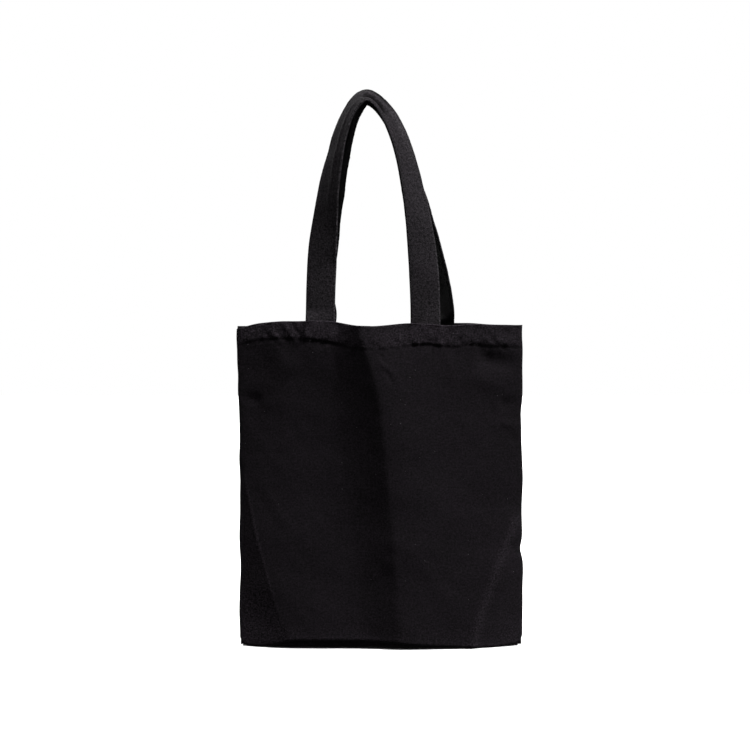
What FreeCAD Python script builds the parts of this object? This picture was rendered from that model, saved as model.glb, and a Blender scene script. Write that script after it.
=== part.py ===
"""Canvas tote bag with two looped handles. All sizes are in millimetres.

The bag stands on a leaf-shaped base. Its front and back panels meet at two side seams and
bow apart between them, more at the base than at the mouth. The mouth has a turned hem, and
the ends of two flat straps are sewn inside it. Each strap rises as a loop, turns on itself
as it climbs, and leans against the other along a ridge at the top.

+Z is up and the front faces -Y. The origin is on the floor at the middle of the base.
Back pieces are made like front pieces and given half a turn about Z.
"""
import FreeCAD, Part
import math
import os

import Sketcher
from FreeCAD import Placement, Rotation, Vector

SIZES = {
    "bag_width": 350.0,
    "bag_height": 400.0,
    "base_depth": 80.0,
    "mouth_depth": 44.0,
    "seam_half_gap": 1.4,
    "cloth": 0.8,
    "ply_gap": 0.15,
    "base_end_inset": 1.0,
    "hem_depth": 27.0,
    "hem_thickness": 1.6,
    "hem_end_inset": 9.0,
    "side_allowance": 12.0,
    "side_allowance_inset": 3.0,
    "allowance_thickness": 1.6,
    "base_allowance": 9.0,
    "base_allowance_inset": 27.0,
    "strap_width": 37.0,
    "strap_thickness": 3.0,
    "strap_end_length": 26.0,
    "strap_root_gap": 0.6,
    "front_left_leg": 74.5,
    "front_right_leg": 55.5,
    "back_left_leg": 74.5,
    "back_right_leg": 74.0,
    "front_peak_left": 17.2,
    "back_peak_left": 18.7,
    "front_rise": 280.5,
    "back_rise": 284.2,
    "front_left_shoulder_rise": 0.54,
    "front_right_shoulder_rise": 0.58,
    "back_left_shoulder_rise": 0.11,
    "back_right_shoulder_rise": 0.44,
    "front_left_lean": 0.0,
    "front_right_lean": 0.0,
    "back_left_lean": 4.0,
    "back_right_lean": 7.4,
    "front_left_reach": 34.4,
    "front_right_reach": 32.7,
    "back_left_reach": 22.6,
    "back_right_reach": 34.5,
    "front_twist_start": 0.24,
    "back_twist_start": 0.0,
    "front_twist": 64.0,
    "back_twist": 72.0,
    "ridge_half_gap": 0.6,
    "thread_width": 0.8,
    "thread_height": 0.4,
    "thread_gap": 0.05,
    "stitch_length": 4.0,
    "stitch_pitch": 6.0,
    "hem_stitch_rise": 3.0,
    "strap_stitch_inset": 3.0,
    "box_stitch_width": 28.0,
    "box_stitch_height": 18.0,
    "box_stitch_gap": 0.2,
    "overlock_width": 3.0,
    "overlock_pitch": 8.0,
}
SECTIONS_PER_LEG = 12
VOLUME_TOLERANCE = 0.03

DOC = FreeCAD.newDocument("tote_bag")
PIECES = []
TURN = {
    "front": Placement(),
    "back": Placement(Vector(0, 0, 0), Rotation(Vector(0, 0, 1), 180)),
}


def fill_sheet():
    """Write the driving dimensions into the sheet, one aliased cell each."""
    sheet = DOC.addObject("Spreadsheet::Sheet", "Dimensions")
    for row, (alias, value) in enumerate(SIZES.items(), start=1):
        sheet.set(f"A{row}", alias)
        sheet.set(f"B{row}", str(value))
        sheet.setAlias(f"B{row}", alias)
    DOC.recompute()
    return sheet


SHEET = fill_sheet()


def size(alias):
    """The value of one driving dimension."""
    return float(SHEET.get(alias))


def cell(alias):
    """The expression that refers to one driving dimension."""
    return f"Dimensions.{alias}"


# ---- the bow of a panel -------------------------------------------------------------------

def bow_expressions(level):
    """Radius and centre of a panel's outer face at the base or the mouth, as expressions."""
    half_width = f"({cell('bag_width')} / 2)"
    sag = f"({cell(level + '_depth')} / 2 - {cell('seam_half_gap')})"
    radius = f"(({half_width}^2 + {sag}^2) / (2 * {sag}))"
    centre = f"({radius} - {cell(level + '_depth')} / 2)"
    return radius, centre


def bow(level):
    """Radius and centre of a panel's outer face at the base or the mouth, as numbers."""
    half_width = size("bag_width") / 2
    sag = size(level + "_depth") / 2 - size("seam_half_gap")
    radius = (half_width ** 2 + sag ** 2) / (2 * sag)
    return radius, radius - size(level + "_depth") / 2


def bowed_length(radius, left, right):
    """Length of an arc about the panel's centre between two places along X."""
    return radius * (math.asin(right / radius) + math.asin(left / radius))


def on_bow(level, inset, x):
    """A point and its tilt on the arc that lies inset behind a front panel's outer face."""
    radius, centre = bow(level)
    y = centre - math.sqrt((radius - inset) ** 2 - x ** 2)
    tilt = math.degrees(math.asin(x / (radius - inset)))
    return y, tilt


# ---- building blocks ----------------------------------------------------------------------

def register(piece, label, expected_volume):
    """Name a finished sub-part and remember what its volume should be."""
    piece.Label = label
    PIECES.append((piece, expected_volume))


def new_body(label, side):
    """An empty body on one side of the bag."""
    body = DOC.addObject("PartDesign::Body", label + "_body")
    body.Placement = TURN[side]
    return body


def sketch_on_floor_plane(body, name, height_expression):
    """A sketch parallel to the floor at a height given by an expression."""
    sketch = body.newObject("Sketcher::SketchObject", name)
    plane = next(p for p in body.Origin.OriginFeatures if p.Role == "XY_Plane")
    sketch.AttachmentSupport = [(plane, "")]
    sketch.MapMode = "FlatFace"
    sketch.setExpression("AttachmentOffset.Base.z", height_expression)
    return sketch


def bind(sketch, constraint, expression):
    """Add a size constraint to a sketch and bind it to an expression."""
    index = sketch.addConstraint(constraint)
    sketch.setExpression(f"Constraints[{index}]", expression)


def draw_arc_band(sketch, level, near, far, left, right):
    """A curved strip behind the panel's outer face, cut off at left and right of the middle.

    near and far are the strip's insets from the outer face, and left and right are the
    distances of its ends from the Y axis. All four are pairs of a number and an expression,
    and a negative left puts that end right of the axis.
    """
    radius, centre = bow(level)
    radius_text, centre_text = bow_expressions(level)
    middle = Vector(0, centre, 0)
    corners = []
    for inset in (near[0], far[0]):
        reach = radius - inset
        low = Vector(-left[0], centre - math.sqrt(reach ** 2 - left[0] ** 2), 0)
        high = Vector(right[0], centre - math.sqrt(reach ** 2 - right[0] ** 2), 0)
        start = math.atan2(low.y - centre, low.x)
        end = math.atan2(high.y - centre, high.x)
        circle = Part.Circle(middle, Vector(0, 0, 1), reach)
        sketch.addGeometry(Part.ArcOfCircle(circle, start, end))
        corners.append((low, high))
    sketch.addGeometry(Part.LineSegment(corners[0][0], corners[1][0]))
    sketch.addGeometry(Part.LineSegment(corners[0][1], corners[1][1]))
    outer, inner, left_line, right_line = 0, 1, 2, 3
    start, end, centre_point = 1, 2, 3
    sketch.addConstraint(Sketcher.Constraint("Coincident", outer, centre_point, inner, centre_point))
    sketch.addConstraint(Sketcher.Constraint("PointOnObject", outer, centre_point, -2))
    sketch.addConstraint(Sketcher.Constraint("Coincident", outer, start, left_line, start))
    sketch.addConstraint(Sketcher.Constraint("Coincident", inner, start, left_line, end))
    sketch.addConstraint(Sketcher.Constraint("Coincident", outer, end, right_line, start))
    sketch.addConstraint(Sketcher.Constraint("Coincident", inner, end, right_line, end))
    sketch.addConstraint(Sketcher.Constraint("Vertical", left_line))
    sketch.addConstraint(Sketcher.Constraint("Vertical", right_line))
    rise = Sketcher.Constraint("DistanceY", -1, 1, outer, centre_point, centre)
    bind(sketch, rise, centre_text)
    bind(sketch, Sketcher.Constraint("Radius", outer, radius - near[0]), f"{radius_text} - {near[1]}")
    bind(sketch, Sketcher.Constraint("Radius", inner, radius - far[0]), f"{radius_text} - {far[1]}")
    bind_reach(sketch, left_line, -left[0], left[1])
    bind_reach(sketch, right_line, right[0], right[1])


def bind_reach(sketch, line, x, expression):
    """Hold an upright line at a bound distance from the Y axis, on the side that it is on."""
    if x < 0:
        constraint = Sketcher.Constraint("DistanceX", line, 1, -1, 1, -x)
    else:
        constraint = Sketcher.Constraint("DistanceX", -1, 1, line, 1, x)
    bind(sketch, constraint, expression)


def pad(body, sketch, length_expression):
    """Raise a sketch straight up by a bound length."""
    feature = body.newObject("PartDesign::Pad", sketch.Name + "_pad")
    feature.Profile = sketch
    feature.setExpression("Length", length_expression)
    return feature


def edge_inset(alias):
    """Distance from the middle to a place set in from the side seam, as number and text."""
    if alias is None:
        return size("bag_width") / 2, f"{cell('bag_width')} / 2"
    return size("bag_width") / 2 - size(alias), f"{cell('bag_width')} / 2 - {cell(alias)}"


def curved_strip(label, side, level, near, far, reach, base_text, height_alias):
    """A strip that follows the panel's bow, as wide as twice its reach."""
    body = new_body(label, side)
    sketch = sketch_on_floor_plane(body, label + "_outline", base_text)
    draw_arc_band(sketch, level, near, far, reach, reach)
    pad(body, sketch, cell(height_alias))
    radius, _ = bow(level)
    middle = radius - (near[0] + far[0]) / 2
    area = bowed_length(middle, reach[0], reach[0]) * (far[0] - near[0])
    register(body, label, area * size(height_alias))


def thread_box(name, length_alias, placement):
    """One straight stretch of thread, centred on a placement and lying along its X."""
    box = DOC.addObject("Part::Box", name)
    box.setExpression("Length", cell(length_alias))
    box.setExpression("Width", cell("thread_height"))
    box.setExpression("Height", cell("thread_width"))
    corner = Vector(-size(length_alias) / 2, -size("thread_height") / 2, -size("thread_width") / 2)
    box.Placement = placement.multiply(Placement(corner, Rotation()))
    return box


def thread_volume(length_alias):
    """Volume of one straight stretch of thread."""
    return size(length_alias) * size("thread_height") * size("thread_width")


def join_loose(label, side, members, expected_volume):
    """Separate solids that share one node."""
    group = DOC.addObject("Part::Compound", label + "_group")
    group.Links = members
    group.Placement = TURN[side]
    register(group, label, expected_volume)


# ---- the bag ------------------------------------------------------------------------------

def make_panel(side):
    """A panel: it leans in from the base to the hem, and stands straight along the hem."""
    label = side + "_panel"
    body = new_body(label, side)
    near = (0.0, "0")
    far = (size("cloth"), cell("cloth"))
    reach = edge_inset(None)
    foot = f"{cell('cloth')} + {cell('ply_gap')}"
    hem_foot = f"{cell('bag_height')} - {cell('hem_depth')}"
    lower = sketch_on_floor_plane(body, label + "_foot", foot)
    draw_arc_band(lower, "base", near, far, reach, reach)
    upper = sketch_on_floor_plane(body, label + "_hem_line", hem_foot)
    draw_arc_band(upper, "mouth", near, far, reach, reach)
    loft = body.newObject("PartDesign::AdditiveLoft", label + "_loft")
    loft.Profile = lower
    loft.Sections = [upper]
    loft.Ruled = True
    pad(body, upper, cell("hem_depth"))
    foot_length = bowed_length(bow("base")[0], reach[0], reach[0])
    mouth_length = bowed_length(bow("mouth")[0], reach[0], reach[0])
    slope_height = size("bag_height") - size("hem_depth") - size("cloth") - size("ply_gap")
    area = (foot_length + mouth_length) / 2 * slope_height + mouth_length * size("hem_depth")
    register(body, label, area * size("cloth"))


def make_base_panel():
    """The leaf-shaped base, under the lower edges of both panels."""
    body = new_body("base_panel", "front")
    sketch = sketch_on_floor_plane(body, "base_panel_outline", "0")
    radius, centre = bow("base")
    radius_text, centre_text = bow_expressions("base")
    reach = edge_inset("base_end_inset")
    edge_y = math.sqrt(radius ** 2 - reach[0] ** 2) - centre
    spread = math.asin(reach[0] / radius)
    front = Part.Circle(Vector(0, centre, 0), Vector(0, 0, 1), radius)
    back = Part.Circle(Vector(0, -centre, 0), Vector(0, 0, 1), radius)
    down, up = -math.pi / 2, math.pi / 2
    sketch.addGeometry(Part.ArcOfCircle(front, down - spread, down + spread))
    sketch.addGeometry(Part.ArcOfCircle(back, up - spread, up + spread))
    sketch.addGeometry(Part.LineSegment(Vector(-reach[0], -edge_y, 0), Vector(-reach[0], edge_y, 0)))
    sketch.addGeometry(Part.LineSegment(Vector(reach[0], -edge_y, 0), Vector(reach[0], edge_y, 0)))
    sketch.addConstraint(Sketcher.Constraint("Coincident", 0, 1, 2, 1))
    sketch.addConstraint(Sketcher.Constraint("Coincident", 1, 2, 2, 2))
    sketch.addConstraint(Sketcher.Constraint("Coincident", 0, 2, 3, 1))
    sketch.addConstraint(Sketcher.Constraint("Coincident", 1, 1, 3, 2))
    sketch.addConstraint(Sketcher.Constraint("Vertical", 2))
    sketch.addConstraint(Sketcher.Constraint("Vertical", 3))
    sketch.addConstraint(Sketcher.Constraint("PointOnObject", 0, 3, -2))
    sketch.addConstraint(Sketcher.Constraint("PointOnObject", 1, 3, -2))
    bind(sketch, Sketcher.Constraint("DistanceY", -1, 1, 0, 3, centre), centre_text)
    bind(sketch, Sketcher.Constraint("Radius", 0, radius), radius_text)
    bind(sketch, Sketcher.Constraint("Radius", 1, radius), radius_text)
    bind_reach(sketch, 2, -reach[0], reach[1])
    bind_reach(sketch, 3, reach[0], reach[1])
    pad(body, sketch, cell("cloth"))
    sector = spread * radius ** 2
    triangle = reach[0] * (centre + edge_y)
    leaf = 2 * (sector - triangle + reach[0] * edge_y * 2)
    register(body, "base_panel", leaf * size("cloth"))


def make_hem(side):
    """The turned hem, two plies thick, inside the top of a panel."""
    inset = size("cloth") + size("ply_gap")
    inset_text = f"({cell('cloth')} + {cell('ply_gap')})"
    near = (inset, inset_text)
    far = (inset + size("hem_thickness"), f"({inset_text} + {cell('hem_thickness')})")
    foot = f"{cell('bag_height')} - {cell('hem_depth')}"
    curved_strip(side + "_hem", side, "mouth", near, far, edge_inset("hem_end_inset"), foot, "hem_depth")


def make_base_seam(side):
    """The base seam's allowance, pressed flat on the base inside a panel's lower edge."""
    inset = size("cloth") + 2 * size("ply_gap")
    inset_text = f"({cell('cloth')} + 2 * {cell('ply_gap')})"
    near = (inset, inset_text)
    far = (inset + size("base_allowance"), f"({inset_text} + {cell('base_allowance')})")
    foot = f"{cell('cloth')} + {cell('ply_gap')}"
    reach = edge_inset("base_allowance_inset")
    curved_strip(side + "_base_seam", side, "base", near, far, reach, foot, "allowance_thickness")


def side_seam_span():
    """Lowest point and height of a side seam's allowance."""
    foot = size("cloth") + 2 * size("ply_gap")
    return foot, size("bag_height") - size("hem_depth") - foot


def make_side_seam(name, side):
    """A side seam's allowance: a double ply that points into the bag from the seam."""
    label = name + "_side_seam"
    box = DOC.addObject("Part::Box", label + "_ply")
    foot_text = f"({cell('cloth')} + 2 * {cell('ply_gap')})"
    box.setExpression("Length", cell("side_allowance"))
    box.setExpression("Width", cell("allowance_thickness"))
    box.setExpression("Height", f"{cell('bag_height')} - {cell('hem_depth')} - {foot_text}")
    outer = size("bag_width") / 2 - size("side_allowance_inset")
    corner = Vector(-outer, -size("allowance_thickness") / 2, side_seam_span()[0])
    box.Placement = TURN[side].multiply(Placement(corner, Rotation()))
    height = side_seam_span()[1]
    register(box, label, size("side_allowance") * size("allowance_thickness") * height)


def make_side_overlock(name, side):
    """Overlock stitches that wrap a side seam's raw edge, seen as loops past the edge."""
    foot, height = side_seam_span()
    count = int(height / size("overlock_pitch"))
    edge = -size("bag_width") / 2 + size("side_allowance_inset") + size("side_allowance")
    x = edge + size("thread_gap") + size("thread_height") / 2
    quarter_turn = Rotation(Vector(0, 0, 1), 90)
    threads = []
    for index in range(count):
        spot = Placement(Vector(x, 0, foot + (index + 0.5) * size("overlock_pitch")), quarter_turn)
        threads.append(thread_box(f"{name}_overlock_{index}", "overlock_width", spot))
    volume = count * thread_volume("overlock_width")
    join_loose(name + "_side_overlock", side, threads, volume)


def make_hem_stitching(side):
    """A row of stitches on the outside, just above the hem's lower edge."""
    radius, centre = bow("mouth")
    reach = edge_inset("hem_end_inset")[0]
    row_radius = radius + size("thread_gap") + size("thread_height") / 2
    row_height = size("bag_height") - size("hem_depth") + size("hem_stitch_rise")
    count = int(bowed_length(radius, reach, reach) / size("stitch_pitch"))
    stitches = []
    for index in range(count):
        turn = (index - (count - 1) / 2) * size("stitch_pitch") / radius
        spot = Vector(row_radius * math.sin(turn), centre - row_radius * math.cos(turn), row_height)
        placement = Placement(spot, Rotation(Vector(0, 0, 1), math.degrees(turn)))
        stitches.append(thread_box(f"{side}_hem_stitch_{index}", "stitch_length", placement))
    volume = count * thread_volume("stitch_length")
    join_loose(side + "_hem_stitching", side, stitches, volume)


# ---- the strap ends inside the hem --------------------------------------------------------

def strap_insets():
    """How far behind the panel's outer face a strap end starts and stops."""
    near = size("cloth") + size("hem_thickness") + 2 * size("ply_gap")
    near_text = f"({cell('cloth')} + {cell('hem_thickness')} + 2 * {cell('ply_gap')})"
    far = near + size("strap_thickness")
    return (near, near_text), (far, f"({near_text} + {cell('strap_thickness')})")


def leg_in_front_frame(side, leg):
    """A leg's distance left of the middle, before back pieces get their half turn."""
    position = size(f"{side}_{leg}_leg")
    return position if (leg == "left") == (side == "front") else -position


def make_strap_end(side, leg):
    """The sewn end of a strap, flat against the inside of the hem."""
    label = f"{side}_{leg}_strap_end"
    body = new_body(label, side)
    foot = f"{cell('bag_height')} - {cell('strap_end_length')}"
    sketch = sketch_on_floor_plane(body, label + "_outline", foot)
    near, far = strap_insets()
    half = size("strap_width") / 2
    position = leg_in_front_frame(side, leg)
    leg_text = cell(f"{side}_{leg}_leg")
    away = f"{leg_text} + {cell('strap_width')} / 2"
    toward = f"{leg_text} - {cell('strap_width')} / 2"
    if position > 0:
        draw_arc_band(sketch, "mouth", near, far, (position + half, away), (half - position, toward))
    else:
        draw_arc_band(sketch, "mouth", near, far, (position + half, toward), (half - position, away))
    pad(body, sketch, cell("strap_end_length"))
    middle = bow("mouth")[0] - (near[0] + far[0]) / 2
    length = bowed_length(middle, position + half, half - position)
    register(body, label, length * size("strap_thickness") * size("strap_end_length"))


def make_box_stitching(side, leg):
    """The crossed box of thread that holds a strap end, on its inner face."""
    label = f"{side}_{leg}_box_stitching"
    width, height = size("box_stitch_width"), size("box_stitch_height")
    diagonal = math.hypot(width, height) - size("thread_width")
    slope = math.degrees(math.atan2(height, width))
    bars = [
        ("foot", width, Vector(0, 0, -height / 2), 0),
        ("head", width, Vector(0, 0, height / 2), 0),
        ("start", height, Vector(-width / 2, 0, 0), 90),
        ("finish", height, Vector(width / 2, 0, 0), 90),
        ("cross_up", diagonal, Vector(0, 0, 0), slope),
        ("cross_down", diagonal, Vector(0, 0, 0), -slope),
    ]
    members = []
    for name, length, centre, turn in bars:
        bar = DOC.addObject("Part::Box", f"{label}_{name}")
        bar.Length = length
        bar.setExpression("Width", cell("thread_height"))
        bar.setExpression("Height", cell("thread_width"))
        corner = Vector(-length / 2, -size("thread_height") / 2, -size("thread_width") / 2)
        spot = Placement(centre, Rotation(Vector(0, 1, 0), turn))
        bar.Placement = spot.multiply(Placement(corner, Rotation()))
        members.append(bar)
    fuse = DOC.addObject("Part::MultiFuse", label + "_threads")
    fuse.Shapes = members
    inset = strap_insets()[1][0] + size("box_stitch_gap") + size("thread_height") / 2
    x = -leg_in_front_frame(side, leg)
    y, tilt = on_bow("mouth", inset, x)
    z = size("bag_height") - size("strap_end_length") / 2
    spot = Placement(Vector(x, y, z), Rotation(Vector(0, 0, 1), tilt))
    fuse.Placement = TURN[side].multiply(spot)
    length = 2 * (width + height + diagonal)
    register(fuse, label, length * size("thread_width") * size("thread_height"))


# ---- the looped straps --------------------------------------------------------------------

def bezier(points, along):
    """A point and its direction on the cubic curve with four control points."""
    back = 1 - along
    a, b, c, d = points
    spot = a * back ** 3 + b * (3 * back ** 2 * along) + c * (3 * back * along ** 2) + d * along ** 3
    way = (b - a) * back ** 2 + (c - b) * (2 * back * along) + (d - c) * along ** 2
    return spot, way.normalize()


def strap_frames(side):
    """Placements along a strap, from its left root over the peak to its right root.

    X of each placement points from the loop's inner edge to its outer edge, Y out of the
    strap's outer face and Z along the strap. The side's half turn is not applied yet.
    """
    root_z = size("bag_height") + size("strap_root_gap")
    rise = size(side + "_rise")
    peak_left = size(side + "_peak_left")
    peak_x = -peak_left if side == "front" else peak_left
    twist_start = size(side + "_twist_start")
    full_twist = math.radians(size(side + "_twist"))
    near, far = strap_insets()
    frames = []
    for end, leg in (("first", "left"), ("last", "right")):
        if side == "back":
            leg = {"left": "right", "right": "left"}[leg]
        root_x = -leg_in_front_frame(side, leg)
        toward_root = math.copysign(1.0, root_x - peak_x)
        root = Vector(root_x, 0, root_z)
        name = f"{side}_{leg}"
        leaned = root_x - toward_root * size(name + "_lean")
        shoulder = Vector(leaned, 0, root_z + rise * size(name + "_shoulder_rise"))
        reach = Vector(peak_x + toward_root * size(name + "_reach"), 0, root_z + rise)
        peak = Vector(peak_x, 0, root_z + rise)
        root_y, root_tilt = on_bow("mouth", (near[0] + far[0]) / 2, root_x)
        root_twist = math.radians(abs(root_tilt))
        climb = range(SECTIONS_PER_LEG + 1)
        for step in climb if end == "first" else reversed(climb[:-1]):
            spot, way = bezier((root, shoulder, reach, peak), step / SECTIONS_PER_LEG)
            if step == 0:
                way = Vector(0, 0, 1)
            climbed = (spot.z - root_z) / rise
            turned = max(0.0, (climbed - twist_start) / (1 - twist_start))
            eased = 1 - (1 - turned) ** 2
            twist = root_twist + (full_twist - root_twist) * eased
            spot.y = root_y + (ridge_offset(full_twist) - root_y) * eased
            if end == "last":
                way = way.negative()
            outward = Vector(-way.z, 0, way.x)
            across = outward * math.cos(twist) + Vector(0, math.sin(twist), 0)
            face = way.cross(across)
            frames.append(Placement(spot, Rotation(across, face, way, "ZXY")))
    return frames


def ridge_offset(twist):
    """Where the strap's middle lies at the peak, so that its upper edge meets the ridge."""
    half_across = size("strap_width") / 2 * math.sin(twist)
    half_through = size("strap_thickness") / 2 * math.cos(twist)
    return -(size("ridge_half_gap") + half_across + half_through)


def section(name, frame, width_alias, thickness_alias):
    """A rectangle centred on a placement and square to the strap's route."""
    sketch = DOC.addObject("Sketcher::SketchObject", name)
    sketch.Placement = frame
    x, y = size(width_alias) / 2, size(thickness_alias) / 2
    corners = [Vector(-x, -y, 0), Vector(x, -y, 0), Vector(x, y, 0), Vector(-x, y, 0)]
    for index in range(4):
        sketch.addGeometry(Part.LineSegment(corners[index], corners[(index + 1) % 4]))
    for index in range(4):
        sketch.addConstraint(Sketcher.Constraint("Coincident", index, 2, (index + 1) % 4, 1))
    for line, kind in enumerate(("Horizontal", "Vertical", "Horizontal", "Vertical")):
        sketch.addConstraint(Sketcher.Constraint(kind, line))
    sketch.addConstraint(Sketcher.Constraint("Symmetric", 0, 1, 1, 2, -1, 1))
    bind(sketch, Sketcher.Constraint("DistanceX", 0, 1, 0, 2, 2 * x), cell(width_alias))
    bind(sketch, Sketcher.Constraint("DistanceY", 1, 1, 1, 2, 2 * y), cell(thickness_alias))
    return sketch


def along_strap(name, frames, across, out, width_alias, thickness_alias):
    """A strip that follows the strap, moved across its width and out of its face."""
    shift = Placement(Vector(across, out, 0), Rotation())
    sections = []
    for index, frame in enumerate(frames):
        place = frame.multiply(shift)
        sections.append(section(f"{name}_section_{index}", place, width_alias, thickness_alias))
    loft = DOC.addObject("Part::Loft", name + "_loft")
    loft.Sections = sections
    loft.Solid = True
    loft.Ruled = True
    return loft


def route_length(frames, across, out):
    """Length of the polygon through the sections, moved across and out as a strip is."""
    offset = Vector(across, out, 0)
    points = [frame.multVec(offset) for frame in frames]
    return sum((b - a).Length for a, b in zip(points, points[1:]))


def make_strap(side):
    """A looped strap and the two rows of thread along each of its faces."""
    frames = strap_frames(side)
    strap = along_strap(side + "_strap", frames, 0, 0, "strap_width", "strap_thickness")
    strap.Placement = TURN[side]
    length = route_length(frames, 0, 0)
    print(f"{side} strap: free length {length:.0f} mm")
    register(strap, side + "_strap", length * size("strap_width") * size("strap_thickness"))
    row = size("strap_width") / 2 - size("strap_stitch_inset")
    proud = size("strap_thickness") / 2 + size("thread_gap") + size("thread_height") / 2
    rows = []
    volume = 0.0
    for across in (-row, row):
        for out in (-proud, proud):
            name = f"{side}_strap_row_{len(rows)}"
            rows.append(along_strap(name, frames, across, out, "thread_width", "thread_height"))
            volume += route_length(frames, across, out) * size("thread_width") * size("thread_height")
    join_loose(side + "_strap_stitching", side, rows, volume)


# ---- the whole bag ------------------------------------------------------------------------

def check_document():
    """Stop if any object failed, or a sub-part's shape is not the solid it should be."""
    for thing in DOC.Objects:
        if "Invalid" in thing.State or "Error" in thing.State:
            raise RuntimeError(f"{thing.Label} failed: {thing.State}")
    for piece, expected in PIECES:
        shape = piece.Shape
        if shape.isNull() or not shape.isValid() or not shape.Solids:
            raise RuntimeError(f"{piece.Label} has no valid solid")
        if abs(shape.Volume - expected) > VOLUME_TOLERANCE * expected:
            raise RuntimeError(f"{piece.Label}: volume {shape.Volume:.1f}, expected {expected:.1f}")


def write_pieces():
    """Write each sub-part to a file with its own name."""
    os.makedirs("parts", exist_ok=True)
    for piece, _ in PIECES:
        piece.Shape.exportStep(f"parts/{piece.Label}.step")
        box = piece.Shape.BoundBox
        print(f"{piece.Label:28s} {piece.Shape.Volume:10.1f} mm3  "
              f"x {box.XMin:7.1f} {box.XMax:7.1f}  y {box.YMin:6.1f} {box.YMax:6.1f}  "
              f"z {box.ZMin:6.1f} {box.ZMax:6.1f}")


make_base_panel()
for wall in ("front", "back"):
    make_panel(wall)
    make_hem(wall)
    make_base_seam(wall)
    make_hem_stitching(wall)
    for handle_leg in ("left", "right"):
        make_strap_end(wall, handle_leg)
        make_box_stitching(wall, handle_leg)
    make_strap(wall)
for edge_name, wall in (("left", "front"), ("right", "back")):
    make_side_seam(edge_name, wall)
    make_side_overlock(edge_name, wall)

DOC.recompute()
check_document()
write_pieces()
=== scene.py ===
"""The looks of a black canvas tote bag with two looped handles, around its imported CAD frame.

All lengths are in metres, +Z is up and the front faces -Y. The walls are sheets of canvas
with folds drawn into them, the handles are flat straps that turn as they rise, and every
seam has its own thread. Each cloth mesh carries its own flat coordinates, so that the weave
lies along the cloth and not along the room.
"""
import math
from collections import namedtuple

import bpy
import numpy as np
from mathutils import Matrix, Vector


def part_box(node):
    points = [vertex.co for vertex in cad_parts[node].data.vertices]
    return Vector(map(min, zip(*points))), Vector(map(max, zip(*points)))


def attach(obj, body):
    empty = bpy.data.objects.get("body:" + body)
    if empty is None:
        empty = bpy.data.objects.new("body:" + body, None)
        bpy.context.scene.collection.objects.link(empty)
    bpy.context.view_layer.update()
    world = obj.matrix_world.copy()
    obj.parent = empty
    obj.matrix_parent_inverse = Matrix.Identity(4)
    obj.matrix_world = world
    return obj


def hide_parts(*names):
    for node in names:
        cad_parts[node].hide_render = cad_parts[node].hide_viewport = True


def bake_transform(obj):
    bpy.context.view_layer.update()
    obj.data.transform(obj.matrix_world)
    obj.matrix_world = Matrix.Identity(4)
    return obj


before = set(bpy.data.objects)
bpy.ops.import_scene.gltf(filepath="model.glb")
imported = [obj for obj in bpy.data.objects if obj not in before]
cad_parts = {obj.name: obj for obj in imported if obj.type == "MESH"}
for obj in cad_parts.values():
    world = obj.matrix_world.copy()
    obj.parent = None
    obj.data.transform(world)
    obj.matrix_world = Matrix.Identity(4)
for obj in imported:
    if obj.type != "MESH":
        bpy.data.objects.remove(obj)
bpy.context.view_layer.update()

MM = 0.001

# ---- places read from the frame ----

PANEL_LOW, PANEL_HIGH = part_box("front_panel")
HEM_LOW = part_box("front_hem")[0]
HALF_WIDTH = PANEL_HIGH.x
HEIGHT = PANEL_HIGH.z
HEM_FOOT = HEM_LOW.z
BASE_HALF_DEPTH = -PANEL_LOW.y
HEM_PROUD = 1.0 * MM
MOUTH_HALF_DEPTH = -HEM_LOW.y + HEM_PROUD
STRAP_LOW, STRAP_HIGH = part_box("front_left_strap_end")
STRAP_WIDTH = STRAP_HIGH.x - STRAP_LOW.x
ROOT_Z = STRAP_LOW.z
BLEND_LOW, BLEND_HIGH = HEIGHT - 4 * MM, HEIGHT + 16 * MM


def leg_centre(side, leg):
    """Where a strap's end is sewn, along X."""
    low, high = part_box(f"{side}_{leg}_strap_end")
    return (low.x + high.x) / 2


LEGS = {side: [leg_centre(side, leg) for leg in ("left", "right")] for side in ("front", "back")}
FORWARD = {"front": -1.0, "back": 1.0}

# ---- sizes of the cloth ----

CLOTH = 0.8 * MM
SEAM_GAP = 1.4 * MM
SEAM_ROUND = 5 * MM
EDGE_GAP = 0.35 * MM
SEAM_LEAST = 0.2 * MM
FOOT_ROUND = 4 * MM
FOOT_TUCK = 4 * MM
RIM_THICKNESS = 3.0 * MM
BASE_LIFT = 9.5 * MM
CORNER_ROUND = 12 * MM
STRAP_THICKNESS = 3.0 * MM
STRAP_SET_BACK = RIM_THICKNESS + 0.3 * MM + STRAP_THICKNESS / 2
THREAD = 0.55 * MM


# ---- small maths ----

def ease(value):
    """0 below 0, 1 above 1 and smooth in between."""
    value = np.clip(value, 0.0, 1.0)
    return value * value * (3 - 2 * value)


def bell(distance, width):
    """1 at no distance, falling to 0 over a few widths."""
    return np.exp(-(distance / width) ** 2)


def slope(value, start, width):
    """0 before a start and 1 a width past it, both in mm, and smooth in between."""
    return ease((value - start * MM) / (width * MM))


def hump(value, place, half_width):
    """1 at a place, falling to 0 over a few half widths, both in mm."""
    return bell(value - place * MM, half_width * MM)


def together(*parts):
    """Points from their coordinates, which are arrays or numbers."""
    return np.stack(np.broadcast_arrays(*parts), axis=-1)


def soft_min(a, b, blend):
    """The smaller of two, with the corner between them rounded."""
    return 0.5 * (a + b - np.sqrt((a - b) ** 2 + blend ** 2))


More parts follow.
